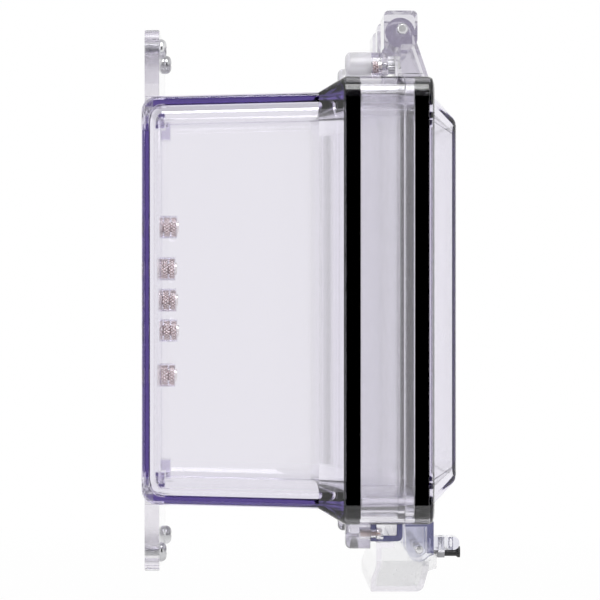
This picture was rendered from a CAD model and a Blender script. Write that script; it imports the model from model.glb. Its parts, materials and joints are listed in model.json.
"""Looks of the hinged clear enclosure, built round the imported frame.

The clear mouldings are welded, rounded copies of the solids in polycarbonate that drinks light over its
length, so that walls seen end-on turn violet. Screws, inserts and seals get their own turned surfaces.
"""
import json
import math

import bmesh
import bpy
import numpy as np
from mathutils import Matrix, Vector

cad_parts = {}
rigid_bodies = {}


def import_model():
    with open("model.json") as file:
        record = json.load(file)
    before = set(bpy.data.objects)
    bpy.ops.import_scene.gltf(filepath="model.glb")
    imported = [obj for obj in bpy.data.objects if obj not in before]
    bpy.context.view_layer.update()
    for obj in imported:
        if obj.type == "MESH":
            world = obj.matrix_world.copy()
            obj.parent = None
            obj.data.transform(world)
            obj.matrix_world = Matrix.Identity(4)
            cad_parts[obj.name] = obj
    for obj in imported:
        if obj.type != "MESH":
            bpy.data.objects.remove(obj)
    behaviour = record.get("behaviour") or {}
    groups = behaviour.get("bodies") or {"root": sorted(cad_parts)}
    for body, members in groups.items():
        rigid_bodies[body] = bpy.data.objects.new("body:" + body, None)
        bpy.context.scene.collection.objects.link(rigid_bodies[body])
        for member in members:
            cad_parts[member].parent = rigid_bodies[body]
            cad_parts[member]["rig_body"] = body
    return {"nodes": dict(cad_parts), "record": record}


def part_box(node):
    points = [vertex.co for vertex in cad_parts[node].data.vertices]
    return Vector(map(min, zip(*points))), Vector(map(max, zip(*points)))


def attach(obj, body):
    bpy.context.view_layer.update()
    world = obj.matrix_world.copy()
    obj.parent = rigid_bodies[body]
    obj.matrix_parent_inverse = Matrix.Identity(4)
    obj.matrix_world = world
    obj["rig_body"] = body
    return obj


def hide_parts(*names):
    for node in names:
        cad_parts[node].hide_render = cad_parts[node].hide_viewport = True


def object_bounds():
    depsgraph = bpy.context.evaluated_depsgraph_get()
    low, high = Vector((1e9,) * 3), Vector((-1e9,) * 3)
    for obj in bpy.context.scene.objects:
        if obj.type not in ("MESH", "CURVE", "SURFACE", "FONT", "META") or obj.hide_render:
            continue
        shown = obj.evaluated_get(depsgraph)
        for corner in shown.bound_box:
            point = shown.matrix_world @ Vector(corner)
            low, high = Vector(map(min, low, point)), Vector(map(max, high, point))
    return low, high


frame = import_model()
CAD_BOX = [list(corner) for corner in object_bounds()]
MM = 0.001
TAU = 2 * math.pi

# ---------------------------------------------------------------- camera

VIEW_DISTANCE = 1.712
VIEW_OUT = 0.0392
VIEW_UP = 0.0038
VIEW_LENS = 244.5
VIEW_AIM = Vector((1, -0.01487, -0.00221))


def add_camera():
    """A long lens level with the box, looking at its side along +X."""
    data = bpy.data.cameras.new("camera")
    data.lens = VIEW_LENS
    data.clip_start, data.clip_end = 0.05, 20
    camera = bpy.data.objects.new("camera", data)
    camera.location = (-VIEW_DISTANCE, -VIEW_OUT, VIEW_UP)
    camera.rotation_euler = VIEW_AIM.to_track_quat("-Z", "Y").to_euler()
    bpy.context.scene.collection.objects.link(camera)
    bpy.context.scene.camera = camera


# ---------------------------------------------------------------- shader maths

class Term:
    """A socket, or a number, that adds Math nodes when Python operators are used on it."""

    def __init__(self, tree, socket):
        self.tree, self.socket = tree, socket

    def _math(self, operation, *terms):
        node = self.tree.nodes.new("ShaderNodeMath")
        node.operation = operation
        for slot, term in zip(node.inputs, terms):
            connect(self.tree, slot, term)
        return Term(self.tree, node.outputs[0])

    def __add__(self, other):
        return self._math("ADD", self, other)

    def __sub__(self, other):
        return self._math("SUBTRACT", self, other)

    def __rsub__(self, other):
        return self._math("SUBTRACT", other, self)

    def __mul__(self, other):
        return self._math("MULTIPLY", self, other)

    def __gt__(self, other):
        return self._math("GREATER_THAN", self, other)

    def __lt__(self, other):
        return self._math("LESS_THAN", self, other)

    def __abs__(self):
        return self._math("ABSOLUTE", self)

    def clamp(self):
        """Held between 0 and 1."""
        return self._math("MINIMUM", self._math("MAXIMUM", self, 0.0), 1.0)

    __radd__ = __add__
    __rmul__ = __mul__


def connect(tree, slot, value):
    """Links a Term to a socket, or writes a plain value on it."""
    if isinstance(value, Term):
        tree.links.new(value.socket, slot)
    else:
        slot.default_value = value


class Finish:
    """A node material under construction."""

    def __init__(self, name):
        self.material = bpy.data.materials.new(name)
        self.material.use_nodes = True
        self.tree = self.material.node_tree
        self.tree.nodes.clear()

    def node(self, kind, out=0, settings=(), stops=(), **inputs):
        """Adds a node: settings first, then ramp stops, then the values or links of its sockets."""
        node = self.tree.nodes.new("ShaderNode" + kind)
        for key, value in dict(settings).items():
            setattr(node, key, value)
        if stops:
            ramp = node.color_ramp
            while len(ramp.elements) < len(stops):
                ramp.elements.new(0.5)
            for element, (place, colour) in zip(ramp.elements, stops):
                element.position, element.color = place, (*colour, 1)
        for key, value in inputs.items():
            connect(self.tree, node.inputs[key.replace("_", " ")], value)
        return Term(self.tree, node.outputs[out])

    def place(self):
        """Object coordinates, which are metres in the row frame."""
        return self.node("TexCoord", out="Object")

    def part(self, vector, letter):
        """One of X, Y and Z of a vector."""
        return self.node("SeparateXYZ", out=letter, Vector=vector)

    def noise(self, scale, detail=2.0, roughness=0.5, where=None, out="Fac"):
        """Noise on object coordinates, with scale in turns per metre."""
        return self.node("TexNoise", out=out, Vector=where or self.place(), Scale=scale,
                         Detail=detail, Roughness=roughness)

    def bump(self, height, distance):
        """Normal from a height between 0 and 1 that stands for a distance in metres."""
        return self.node("Bump", Height=height, Distance=distance, Strength=1.0)

    def mix(self, share, first, second):
        """The first shader, with a share from 0 to 1 of the second."""
        node = self.tree.nodes.new("ShaderNodeMixShader")
        for slot, term in zip(node.inputs, (share, first, second)):
            connect(self.tree, slot, term)
        return Term(self.tree, node.outputs[0])

    def surface(self, shader, volume=None):
        """Ends the material."""
        output = self.tree.nodes.new("ShaderNodeOutputMaterial")
        self.tree.links.new(shader.socket, output.inputs["Surface"])
        if volume:
            self.tree.links.new(volume.socket, output.inputs["Volume"])
        return self.material


# ---------------------------------------------------------------- finishes

POLYCARBONATE_IOR = 1.585
DRINK_DENSITY = 18.0
VIOLET_DRINK = (12.9, 15.0, 7.6)   # light lost per metre in red, green and blue
GREY_DRINK = (0.8, 1.0, 0.6)
EDGE_DRINK = (21.0, 25.5, 12.0)

FOOT_OUT = -0.009          # the feet lie between this depth and the wall
LEVER_UP = -0.1055         # the lever's lower part lies below this height
RIM_UP = 0.0903            # the bosses lie above this height, and below its opposite
BRASS_OUT = -0.0925        # the brass at the bosses' ends lies further out than this
WALL_HEADS_OUT = -0.0105   # the wall screws lie between this depth and the wall


def satin_ends(make):
    """1 on end faces of the feet and of the lower lever."""
    place = make.place()
    ends = abs(make.part(make.node("NewGeometry", out="Normal"), "X")) > 0.9
    feet = make.part(place, "Y") > FOOT_OUT
    lever = make.part(place, "Z") < LEVER_UP
    return ends * (feet + lever).clamp()


def satin_bosses(make):
    """1 on the bosses above and below the rim."""
    return abs(make.part(make.place(), "Z")) > RIM_UP


def milky_bosses(make):
    """The share of haze in the bosses: most above the rim, some below it, none round the brass at their ends."""
    place = make.place()
    high = make.part(place, "Z")
    return ((high > RIM_UP) + 0.3 * (high < -RIM_UP)) * (make.part(place, "Y") > BRASS_OUT)


def smoked_leaves(make):
    """The share that a surface of the hinge leaves lets through, against nearly all elsewhere."""
    high = make.part(make.place(), "Z") > RIM_UP - 0.003
    return make.node("ValToRGB", Fac=high, stops=[(0.0, (0.97, 0.97, 0.975)), (1.0, (0.8, 0.79, 0.83))])


def polycarbonate(name, drink, polish=0.02, satin=0.0, satin_where=None, tint_where=None,
                  clear=(1, 1, 1), milk=0.0):
    """Clear moulded plastic. Each colour fades as exp(-drink * length), and by a share at each surface."""
    make = Finish(name)
    wave = make.noise(22.0, detail=1.0)
    fine = make.noise(900.0, detail=3.0)
    rough = polish + 0.02 * fine
    if satin_where:
        rough = rough + satin * satin_where(make)
    shader = make.node(
        "BsdfPrincipled",
        Base_Color=tint_where(make) if tint_where else (*clear, 1),
        Roughness=rough,
        IOR=POLYCARBONATE_IOR,
        Transmission_Weight=1.0,
        Normal=make.bump(wave, 0.00001),
    )
    colour = [1 - lost / DRINK_DENSITY for lost in drink]
    volume = make.node("VolumeAbsorption", Color=(*colour, 1), Density=DRINK_DENSITY)
    if milk:
        haze = make.node("BsdfPrincipled", Base_Color=(0.92, 0.91, 0.94, 1), Roughness=0.5)
        shader = make.mix(milk * milky_bosses(make), shader, haze)
    return make.surface(shader, volume)


def rubber(name):
    """Black seal rubber with a faint bloom."""
    make = Finish(name)
    bloom = make.noise(160.0, detail=4.0)
    fine = make.noise(2400.0)
    colour = make.node("ValToRGB", Fac=bloom, stops=[(0.3, (0.001, 0.0006, 0.0016)), (0.8, (0.003, 0.002, 0.005))])
    return make.surface(make.node("BsdfPrincipled", Base_Color=colour, Roughness=0.5 + 0.2 * bloom,
                                  Specular_IOR_Level=0.15, Normal=make.bump(fine, 0.00002)))


def metal(name, dark, light, rough, grain=1200.0, metallic=1.0, wall_heads=False):
    """Bare metal whose colour and roughness vary a little. Heads near the wall may be fully metallic and darker."""
    make = Finish(name)
    patch = make.noise(90.0, detail=3.0)
    if wall_heads:
        near_wall = make.part(make.place(), "Y") > WALL_HEADS_OUT
        metallic = metallic + (1 - metallic) * near_wall
        patch = patch - 0.45 * near_wall
    fine = make.noise(grain)
    colour = make.node("ValToRGB", Fac=patch, stops=[(0.0, [0.62 * c for c in dark]), (0.3, dark), (0.75, light)])
    return make.surface(make.node("BsdfPrincipled", Base_Color=colour, Metallic=metallic,
                                  Roughness=rough + 0.12 * patch, Normal=make.bump(fine, 0.00001)))


def brass(name):
    """Brass that is bright on its ridges and dull in its cuts. The mesh says which in its attribute "ridge"."""
    make = Finish(name)
    patch = make.noise(260.0, detail=3.0)
    ridge = make.node("Attribute", out="Fac", settings={"attribute_name": "ridge"})
    colour = make.node("ValToRGB", Fac=ridge * 0.8 + 0.25 * patch,
                       stops=[(0.1, (0.36, 0.25, 0.23)), (0.4, (0.86, 0.68, 0.62)), (0.8, (1.0, 0.96, 0.93))])
    return make.surface(make.node("BsdfPrincipled", Base_Color=colour, Metallic=0.85,
                                  Roughness=0.3 - 0.14 * ridge, Normal=make.bump(patch, 0.00002)))


def knob_plastic(name):
    """Black moulded cap with a faint grain."""
    make = Finish(name)
    fine = make.noise(1500.0, detail=3.0)
    return make.surface(make.node("BsdfPrincipled", Base_Color=(0.012, 0.012, 0.013, 1), Roughness=0.3 + 0.15 * fine,
                                  Normal=make.bump(fine, 0.00002)))


FINISHES = {
    "clear_shell": polycarbonate("clear_shell", VIOLET_DRINK, satin=0.05, satin_where=satin_bosses,
                                 clear=(0.955, 0.95, 0.965), milk=0.5),
    "clear_fittings": polycarbonate("clear_fittings", GREY_DRINK, polish=0.04, satin=0.22, satin_where=satin_ends,
                                    tint_where=smoked_leaves),
    "tinted_edge": polycarbonate("tinted_edge", EDGE_DRINK, polish=0.05),
    "black_rubber": rubber("black_rubber"),
    "knurled_brass": brass("knurled_brass"),
    "bright_steel": metal("bright_steel", (0.76, 0.76, 0.78), (0.9, 0.9, 0.92), 0.2, metallic=0.6, wall_heads=True),
    "dark_steel": metal("dark_steel", (0.2, 0.2, 0.21), (0.42, 0.42, 0.44), 0.3),
    "black_knob": knob_plastic("black_knob"),
}
SLOT_OF = {row["node"]: row["material_slot"] for row in frame["record"]["subparts"]}


def dress(piece, material):
    """Gives a piece one material."""
    piece.data.materials.clear()
    piece.data.materials.append(material)


for node_name, node_object in frame["nodes"].items():
    dress(node_object, FINISHES[SLOT_OF[node_name]])

# ---------------------------------------------------------------- rounded copies of the clear mouldings

SHARP_ANGLE = 28


def rounded_copy(node_name, edge):
    """A welded copy of a solid whose sharp edges are rounded to a radius, shaded smooth between them."""
    source = frame["nodes"][node_name]
    mesh = source.data.copy()
    weld = bmesh.new()
    weld.from_mesh(mesh)
    bmesh.ops.remove_doubles(weld, verts=weld.verts, dist=0.002 * MM)
    bmesh.ops.dissolve_limit(weld, angle_limit=math.radians(0.3), verts=weld.verts, edges=weld.edges)
    weld.to_mesh(mesh)
    weld.free()
    mesh.name = node_name + "_rounded"
    piece = bpy.data.objects.new(node_name + "_rounded", mesh)
    bpy.context.scene.collection.objects.link(piece)
    mesh.shade_smooth()
    bevel = piece.modifiers.new("edge", "BEVEL")
    bevel.width = edge
    bevel.segments = 2
    bevel.limit_method = "ANGLE"
    bevel.angle_limit = math.radians(SHARP_ANGLE)
    flat = piece.modifiers.new("flat", "WEIGHTED_NORMAL")
    flat.mode = "FACE_AREA"
    flat.weight = 100
    dress(piece, FINISHES[SLOT_OF[node_name]])
    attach(piece, source["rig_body"])
    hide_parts(node_name)


CLEAR_EDGES = {
    "base_shell": 0.5, "cover_shell": 0.5, "rim_frame": 0.2, "hinge_base_leaf": 0.5, "hinge_cover_leaf": 0.5,
    "latch_keeper": 0.3, "latch_block": 0.4, "latch_lever": 0.5, "mounting_foot_top": 0.8,
    "mounting_foot_bottom": 0.8,
}
for clear_name, clear_edge in CLEAR_EDGES.items():
    rounded_copy(clear_name, clear_edge * MM)

# ---------------------------------------------------------------- turned pieces

OUTWARD = np.array([[1, 0, 0], [0, 0, 1], [0, -1, 0]])   # an axis that runs out of the wall
ACROSS = np.array([[0, 1, 0], [0, 0, 1], [1, 0, 0]])     # an axis that runs across the box


def soft_profile(corners, softness=0.15):
    """Rows of (radius, length) along straight lines between corners, with each inner corner cut by an arc.

    The arc is the parabola (1-s)^2 A + 2s(1-s) B + s^2 C between points a little before and after corner B.
    """
    corners = np.array(corners, float)
    rows = [corners[:1]]
    for before, corner, after in zip(corners[:-2], corners[1:-1], corners[2:]):
        back, on = before - corner, after - corner
        reach = min(softness, np.hypot(*back) / 2.1, np.hypot(*on) / 2.1)
        start, end = corner + back * reach / np.hypot(*back), corner + on * reach / np.hypot(*on)
        s = np.linspace(0, 1, 4)[:, None]
        rows.append((1 - s) ** 2 * start + 2 * s * (1 - s) * corner + s ** 2 * end)
    return np.concatenate(rows + [corners[-1:]])


def turned(name, node_name, radius, length, places, axis=OUTWARD, ring=False, turn=None, corner=None, ridge=None):
    """Rows of points round an axis, at (r cos t, r sin t, length), copied to each place.

    radius and length are in mm, as rows by turns. A ring's rows join up end to end. Otherwise the first and
    last rows are single points on the axis. The corner, where given, is added across the axis at each turn, and
    the ridge is a value from 0 to 1 that the finish reads at each point.
    """
    turns = radius.shape[1]
    if turn is None:
        turn = TAU * np.arange(turns) / turns
    rows = np.stack([radius * np.cos(turn), radius * np.sin(turn), length * np.ones(turns)], -1)
    if corner is not None:
        rows[..., :2] += corner
    rings = rows if ring else rows[1:-1]
    points = rings.reshape(-1, 3)
    grid = np.arange(len(points)).reshape(-1, turns)
    beside = np.roll(grid, -1, axis=1)
    if ring:
        quads = np.stack([grid, beside, np.roll(beside, -1, axis=0), np.roll(grid, -1, axis=0)], -1).reshape(-1, 4)
        caps = np.zeros((0, 3), int)
    else:
        quads = np.stack([grid[:-1], beside[:-1], beside[1:], grid[1:]], -1).reshape(-1, 4)
        first, last = np.full(turns, len(points)), np.full(turns, len(points) + 1)
        caps = np.concatenate([np.stack([first, beside[0], grid[0]], -1), np.stack([grid[-1], beside[-1], last], -1)])
        points = np.concatenate([points, rows[0, :1], rows[-1, :1]])
    starts = np.arange(len(places))[:, None, None] * len(points)
    spread = np.array(places)[:, None, :] + (points @ axis)[None] * MM
    faces = (starts + quads).reshape(-1, 4).tolist() + (starts + caps).reshape(-1, 3).tolist()
    mesh = bpy.data.meshes.new(name)
    mesh.from_pydata(spread.reshape(-1, 3).tolist(), [], faces)
    mesh.shade_smooth()
    if ridge is not None:
        values = ridge if ring else np.concatenate([ridge[1:-1].reshape(-1), ridge[0, :1], ridge[-1, :1]])
        layer = mesh.attributes.new("ridge", "FLOAT", "POINT")
        layer.data.foreach_set("value", np.tile(values.reshape(-1), len(places)).astype(np.float32))
    piece = bpy.data.objects.new(name, mesh)
    bpy.context.scene.collection.objects.link(piece)
    dress(piece, FINISHES[SLOT_OF[node_name]])
    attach(piece, frame["nodes"][node_name]["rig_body"])
    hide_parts(node_name)


def box_of(node_name):
    """A node's box in metres, as its low and high corners."""
    low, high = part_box(node_name)
    return np.array(low), np.array(high)


def twin_places(node_name, head_r, rows_apart):
    """Places of two fasteners side by side, or of four, from the box round their heads, at the rear ends."""
    low, high = box_of(node_name)
    x, middle = high[0] - head_r * MM, (low[2] + high[2]) / 2
    heights = [low[2] + head_r * MM, high[2] - head_r * MM] if rows_apart else [middle]
    return [(side * x, high[1], z) for side in (-1, 1) for z in heights]


def knurl(turn, length, count, pitch):
    """Diamonds from 0 to 1: the product of two crossing waves that climb round the axis in opposite ways."""
    climb = math.pi * length / pitch
    return np.abs(np.sin(count / 2 * turn + climb) * np.sin(count / 2 * turn - climb))


def threaded_insert(node_name, outer_r, bore_r, relief, places, front, collar, count=14, pitch=2.0, turns=140):
    """A knurled sleeve with two grooves, a plain collar at its front and a thread in its bore."""
    out = np.linspace(0, front, max(40, int(front * 8)))[:, None]
    turn = (TAU * np.arange(turns) / turns)[None, :]
    place = out / front
    knurled = (out < front - collar) & (np.abs(place - 0.34) > 0.03) & (np.abs(place - 0.66) > 0.03)
    plain = np.where(out > front - collar, outer_r, outer_r - 1.6 * relief) * np.ones(turns)
    diamonds = np.sqrt(knurl(turn, out, count, pitch))
    outer = np.where(knurled, outer_r - relief * (1 - diamonds), plain)
    bright = np.where(knurled, diamonds ** 2, (out > front - collar) * 0.9)
    back = out[::-1]
    bore = bore_r + 0.09 * np.cos(TAU * back / 0.5 + turn)
    rim_cut = np.array([[outer_r - 0.25], [bore_r + 0.3]]) * np.ones(turns)
    rear_cut = np.array([[bore_r + 0.3], [outer_r - 0.25]]) * np.ones(turns)
    radius = np.concatenate([outer, rim_cut, bore, rear_cut])
    length = np.concatenate([out, [[front], [front]], back, [[0], [0]]]) * np.ones(turns)
    ridge = np.concatenate([bright, np.ones((2, turns)), np.full(bore.shape, 0.5), np.ones((2, turns))])
    turned(node_name + "_turned", node_name, radius, length, places, ring=True, ridge=ridge)


def crossed(radius, turn, arm, half):
    """1 inside a cross cut: where the lesser of |u| and |v| is under half and the greater under arm."""
    across, up = np.abs(radius * np.cos(turn)), np.abs(radius * np.sin(turn))
    width = np.clip((half - np.minimum(across, up)) / 0.15 + 0.5, 0, 1)
    return width * np.clip((arm - np.maximum(across, up)) / 0.3 + 0.5, 0, 1)


def dome_rows(head_r, seat, high, steps=26):
    """Rows of a domed head: length = seat + high * (1 - (r / head_r)^4)^0.5 with r running in to the axis."""
    spread = head_r * np.cos(np.linspace(0, math.pi / 2, steps))
    return np.stack([spread, seat + high * np.sqrt(np.clip(1 - (spread / head_r) ** 4, 0, 1))], -1)


def domed_screws(node_name, shank_r, head_r, seat, high, places, recess, turns=96):
    """Screws with a threaded shank, a domed head and a recess that sinks the head by a given share."""
    shank = np.linspace(0.3, seat, 60)
    rows = np.concatenate([[(0, 0), (shank_r - 0.3, 0)], np.stack([np.full(60, shank_r), shank], -1),
                           [(head_r - 0.25, seat)], dome_rows(head_r, seat + 0.25, high - 0.25)])
    turn = TAU * np.arange(turns) / turns
    radius = rows[:, :1] * np.ones(turns)
    length = rows[:, 1:] * np.ones(turns)
    radius[3:61] += 0.12 * np.cos(TAU * length[3:61] / 0.7 + turn) - 0.12
    top = slice(63, None)
    cut = recess(radius[top], turn)
    length[top] -= cut
    ridge = np.ones(length.shape)
    ridge[:62] = 0.3
    ridge[top] -= np.clip(cut, 0, 1)
    turned(node_name + "_turned", node_name, radius, length, places, ridge=ridge)


def cross_recess(radius, turn):
    """A cross cut that is deepest on the axis."""
    return crossed(radius, turn, arm=2.3, half=0.45) * (1.5 - 0.3 * radius)


def slot_recess(radius, turn):
    """A straight slot: 1 where |v| is under half the slot's width."""
    return 0.8 * np.clip((0.35 - np.abs(radius * np.sin(turn))) / 0.15 + 0.5, 0, 1)


FLOOR_INSERT_R, FLOOR_BORE_R, FLOOR_RELIEF = 2.62, 1.25, 0.28   # reaches a little into the plastic
for number in range(1, 6):
    insert_name = "panel_insert_%d" % number
    low, high = box_of(insert_name)
    centre = ((low[0] + high[0]) / 2, high[1], (low[2] + high[2]) / 2)
    threaded_insert(insert_name, FLOOR_INSERT_R, FLOOR_BORE_R, FLOOR_RELIEF, [centre], (high[1] - low[1]) / MM, 1.1)

BOSS_INSERT_R, BOSS_BORE_R, BOSS_RELIEF = 2.6, 1.6, 0.22
low, high = box_of("hinge_boss_inserts")
threaded_insert("hinge_boss_inserts", BOSS_INSERT_R, BOSS_BORE_R, BOSS_RELIEF,
                twin_places("hinge_boss_inserts", BOSS_INSERT_R, False), (high[1] - low[1]) / MM, 0.6)

domed_screws("wall_screws", 2.4, 4.0, 5.7, 2.8, twin_places("wall_screws", 4.0, True), cross_recess)
domed_screws("keeper_screws", 1.45, 2.3, 6.4, 2.6, twin_places("keeper_screws", 2.3, False), slot_recess)

RIB_TURNS = 192
cap_rows = soft_profile([(0, 0), (1.5, 0), (1.5, 5.4), (2.75, 5.4), (2.75, 9.2), (1.5, 9.2), (1.2, 7.6),
                         (0, 7.6)], 0.2)
cap_turn = TAU * np.arange(RIB_TURNS) / RIB_TURNS
cap_radius = cap_rows[:, :1] - 0.22 * (0.5 - 0.5 * np.cos(16 * cap_turn)) * (cap_rows[:, :1] > 2.5)
turned("hinge_leaf_screws_turned", "hinge_leaf_screws", cap_radius, cap_rows[:, 1:] * np.ones(RIB_TURNS),
       twin_places("hinge_leaf_screws", 2.75, False))

for pin_name in ("hinge_pin", "latch_pin"):
    low, high = box_of(pin_name)
    pin_r, pin_long = (high[2] - low[2]) / 2 / MM, (high[0] - low[0]) / MM
    pin_rows = soft_profile([(0, 0), (pin_r, 0), (pin_r, pin_long), (0, pin_long)], pin_r * 0.45)
    turned(pin_name + "_turned", pin_name, pin_rows[:, :1] * np.ones(64), pin_rows[:, 1:] * np.ones(64),
           [(low[0], (low[1] + high[1]) / 2, (low[2] + high[2]) / 2)], axis=ACROSS)

low, high = box_of("lock_knob")
knob_r, knob_long = (high[0] - low[0]) / 2 / MM, (high[1] - low[1]) / MM
waist = knob_r - 0.6
knob_rows = soft_profile([(0, 0), (waist, 0), (waist, knob_long - 1.7), (knob_r, knob_long - 1.0),
                          (knob_r, knob_long), (0, knob_long)], 0.25)
knob_turn = TAU * np.arange(RIB_TURNS) / RIB_TURNS
knob_radius = knob_rows[:, :1] - 0.14 * (0.5 - 0.5 * np.cos(14 * knob_turn)) * (knob_rows[:, :1] > waist * 0.9)
turned("lock_knob_turned", "lock_knob", knob_radius, knob_rows[:, 1:] * np.ones(RIB_TURNS),
       [((low[0] + high[0]) / 2, high[1], (low[2] + high[2]) / 2)])


def seal_ring(node_name, corner_r=6.0, wide=3.34, grip=0.03, steps=12):
    """A square-section ring on a soft square, pressed against the walls of its channel.

    A point is c + (r cos t, r sin t), where c jumps from corner to corner and t runs through a quarter at each.
    """
    low, high = box_of(node_name)
    half, deep = (high[0] - low[0]) / 2 / MM + grip, (high[1] - low[1]) / MM
    inside = -wide - 2 * grip
    outer = soft_profile([(0, 0.2), (0, deep), (inside, deep), (inside, 0), (0, 0), (0, 0.1)], 0.2)
    quarter = np.linspace(0, math.pi / 2, steps)
    turn = np.concatenate([quarter + k * math.pi / 2 for k in range(4)])
    corner = np.repeat([(1, 1), (-1, 1), (-1, -1), (1, -1)], steps, axis=0) * (half - corner_r)
    radius = corner_r + outer[:, :1] * np.ones(len(turn))
    turned(node_name + "_ring", node_name, radius, outer[:, 1:] * np.ones(len(turn)),
           [(0, high[1], 0)], ring=True, turn=turn, corner=corner)


seal_ring("base_seal")
seal_ring("cover_gasket")

# ---------------------------------------------------------------- stage and light

FLOOR_HALF = 6.0
FLOOR_UP = CAD_BOX[0][2] - 0.03
BOUNCES = 64
WHITE_RAYS = ("Is Camera Ray", "Is Glossy Ray", "Is Transmission Ray")


def seen_directly(make):
    """1 on rays from the camera, or by way of gloss or glass."""
    rays = [make.node("LightPath", out=name) for name in WHITE_RAYS]
    return (rays[0] + rays[1] + rays[2]).clamp()


def pale_floor():
    """A wide matt floor that looks white, with part of its shading kept."""
    make = Finish("floor")
    matt = make.node("BsdfDiffuse", Color=(0.86, 0.86, 0.86, 1))
    white = make.node("Emission", Color=(1, 1, 1, 1), Strength=1.0)
    away = make.node("VectorMath", out="Value", settings={"operation": "LENGTH"}, Vector=make.place())
    plain = ((away - 0.25) * 1.6).clamp()
    look = make.mix(seen_directly(make) * (0.93 + 0.07 * plain), matt, white)
    corners = [(x * FLOOR_HALF, y * FLOOR_HALF, FLOOR_UP) for x, y in ((-1, -1), (1, -1), (1, 1), (-1, 1))]
    mesh = bpy.data.meshes.new("floor")
    mesh.from_pydata(corners, [], [(0, 1, 2, 3)])
    floor = bpy.data.objects.new("floor", mesh)
    bpy.context.scene.collection.objects.link(floor)
    dress(floor, make.surface(look))


def studio_world():
    """Soft even light that looks pure white behind the object."""
    world = bpy.data.worlds.new("studio")
    bpy.context.scene.world = world
    world.use_nodes = True
    make = Finish.__new__(Finish)
    make.tree = world.node_tree
    make.tree.nodes.clear()
    soft = make.node("Background", Color=(1, 1, 1, 1), Strength=0.75)
    rise = make.part(make.node("TexCoord", out="Generated"), "Z")
    through = 1 - make.node("LightPath", out="Is Camera Ray")
    sky = make.node("ValToRGB", Fac=rise * through, stops=[(0.5, (1, 1, 1)), (0.85, (0.7, 0.7, 0.71))])
    white = make.node("Background", Color=sky, Strength=1.0)
    output = make.tree.nodes.new("ShaderNodeOutputWorld")
    connect(make.tree, output.inputs[0], make.mix(seen_directly(make), soft, white))


def gloss_shade():
    """A black part of a sphere beside the box that only glossy rays see, so that it lights nothing.

    A point is r * (-cos a cos e, sin a cos e, sin e) for a turn a about the upright and a rise e.
    """
    steps = 25
    turn, rise = np.meshgrid(np.radians(np.linspace(-32, 32, steps)), np.radians(np.linspace(-40, 34, steps)))
    points = 1.5 * np.stack([-np.cos(turn) * np.cos(rise), np.sin(turn) * np.cos(rise), np.sin(rise)], -1)
    points[..., 2] = np.maximum(points[..., 2], FLOOR_UP + 0.001)
    grid = np.arange(steps * steps).reshape(steps, steps)
    quads = np.stack([grid[:-1, :-1], grid[:-1, 1:], grid[1:, 1:], grid[1:, :-1]], -1).reshape(-1, 4)
    mesh = bpy.data.meshes.new("gloss_shade")
    mesh.from_pydata(points.reshape(-1, 3).tolist(), [], quads.tolist())
    screen = bpy.data.objects.new("gloss_shade", mesh)
    bpy.context.scene.collection.objects.link(screen)
    make = Finish("gloss_shade")
    dress(screen, make.surface(make.node("Emission", Color=(0, 0, 0, 1), Strength=1.0)))
    for kind in ("camera", "diffuse", "shadow", "transmission"):
        setattr(screen, "visible_" + kind, False)


def soft_lamp(name, place, size, power):
    """A square lamp that faces the middle of the box."""
    data = bpy.data.lights.new(name, "AREA")
    data.size, data.energy = size, power
    lamp = bpy.data.objects.new(name, data)
    lamp.location = place
    lamp.rotation_euler = (-Vector(place)).to_track_quat("-Z", "Y").to_euler()
    bpy.context.scene.collection.objects.link(lamp)


add_camera()
studio_world()
pale_floor()
gloss_shade()
soft_lamp("key", (-0.75, -0.25, 1.15), 0.7, 9)
soft_lamp("fill", (-1.0, 0.9, 0.4), 0.6, 4)

bpy.context.scene.view_settings.view_transform = "Standard"
for kind in ("max_bounces", "glossy_bounces", "transmission_bounces", "transparent_max_bounces"):
    setattr(bpy.context.scene.cycles, kind, BOUNCES)
